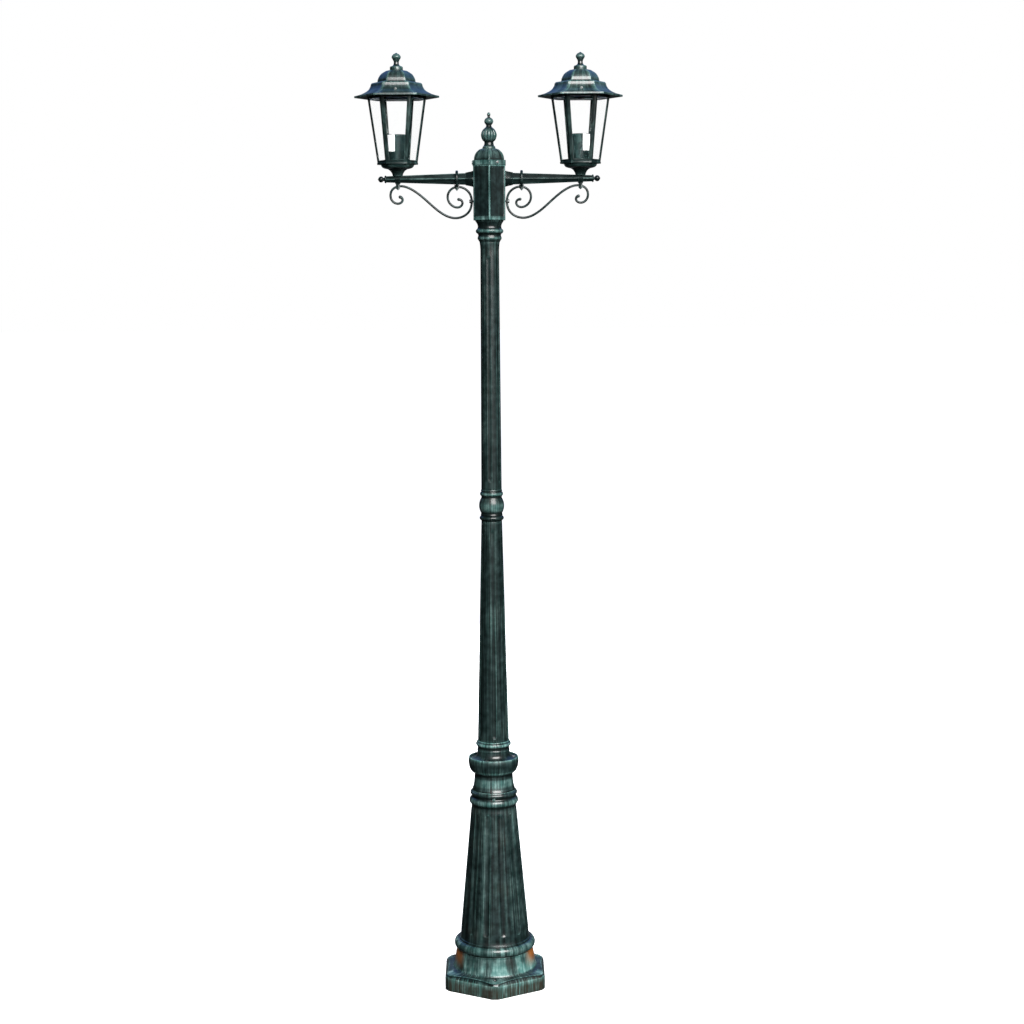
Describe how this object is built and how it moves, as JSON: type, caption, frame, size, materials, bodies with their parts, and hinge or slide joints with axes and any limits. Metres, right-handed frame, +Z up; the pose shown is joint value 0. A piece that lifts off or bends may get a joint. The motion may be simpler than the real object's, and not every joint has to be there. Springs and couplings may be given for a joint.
{
  "type": "street lamp post",
  "caption": "Two-arm street lamp post with a six-sided foot, fluted tapered column, scrolled arms and six-sided glazed lanterns whose roofs lift off.",
  "frame": {"origin": "centre of the foot's underside, on the ground", "axes": "+Z up, arms along X, the front towards -Y; left is -X and right is +X as seen from the front"},
  "size_m": [0.644, 0.278, 2.3],
  "materials": {
    "antique_green": "satin",
    "clear_glass": "gloss",
    "black_plastic": "satin",
    "white_ceramic": "satin",
    "brass": "satin",
    "zinc_steel": "satin",
    "white_label": "matte",
    "black_rubber": "matte",
    "grey_lead": "matte",
    "terminal_plastic": "satin"
  },
  "bodies": {
    "post": {"arm_finials": "antique_green", "arm_nuts": "zinc_steel", "base_column": "antique_green", "base_cup": "antique_green", "base_foot": "antique_green", "centre_contacts": "brass", "column_bolts": "zinc_steel", "column_set_screws": "antique_green", "earth_screw": "brass", "hub_box": "antique_green", "hub_locknut": "zinc_steel", "hub_neck": "antique_green", "lampholder_inserts": "white_ceramic", "lampholder_labels": "white_label", "left_arm": "antique_green", "left_arm_socket": "antique_green", "left_bowl": "antique_green", "left_floor_plate": "antique_green", "left_glass_frame": "antique_green", "left_glass_panes": "clear_glass", "left_inner_strap": "antique_green", "left_lamp_lead": "grey_lead", "left_lampholder_shell": "black_plastic", "left_outer_strap": "antique_green", "left_scroll": "antique_green", "lower_pole": "antique_green", "mid_coupler": "antique_green", "nipple_nuts": "zinc_steel", "nipples": "zinc_steel", "pole_socket": "antique_green", "right_arm": "antique_green", "right_arm_socket": "antique_green", "right_bowl": "antique_green", "right_floor_plate": "antique_green", "right_glass_frame": "antique_green", "right_glass_panes": "clear_glass", "right_inner_strap": "antique_green", "right_lamp_lead": "grey_lead", "right_lampholder_shell": "black_plastic", "right_outer_strap": "antique_green", "right_scroll": "antique_green", "roof_gaskets": "black_rubber", "screw_shells": "brass", "scroll_bolts": "zinc_steel", "socket_screws": "zinc_steel", "terminal_block": "terminal_plastic", "terminal_bracket": "zinc_steel", "upper_pole": "antique_green"},
    "left_roof_cover": {"left_roof": "antique_green", "left_roof_screws": "zinc_steel", "left_roof_finial": "antique_green", "left_roof_finial_nut": "zinc_steel"},
    "right_roof_cover": {"right_roof": "antique_green", "right_roof_screws": "zinc_steel", "right_roof_finial": "antique_green", "right_roof_finial_nut": "zinc_steel"},
    "hub_cover": {"hub_cap": "antique_green", "hub_cap_screws": "zinc_steel", "post_finial": "antique_green", "post_finial_nut": "zinc_steel"}
  },
  "joints": [
    {"name": "left_roof_lift", "type": "slide", "parent": "post", "child": "left_roof_cover", "axis": [0, 0, 1], "range_m": [0, 0.15]},
    {"name": "right_roof_lift", "type": "slide", "parent": "post", "child": "right_roof_cover", "axis": [0, 0, 1], "range_m": [0, 0.15]},
    {"name": "hub_cap_lift", "type": "slide", "parent": "post", "child": "hub_cover", "axis": [0, 0, 1], "range_m": [0, 0.09]}
  ]
}
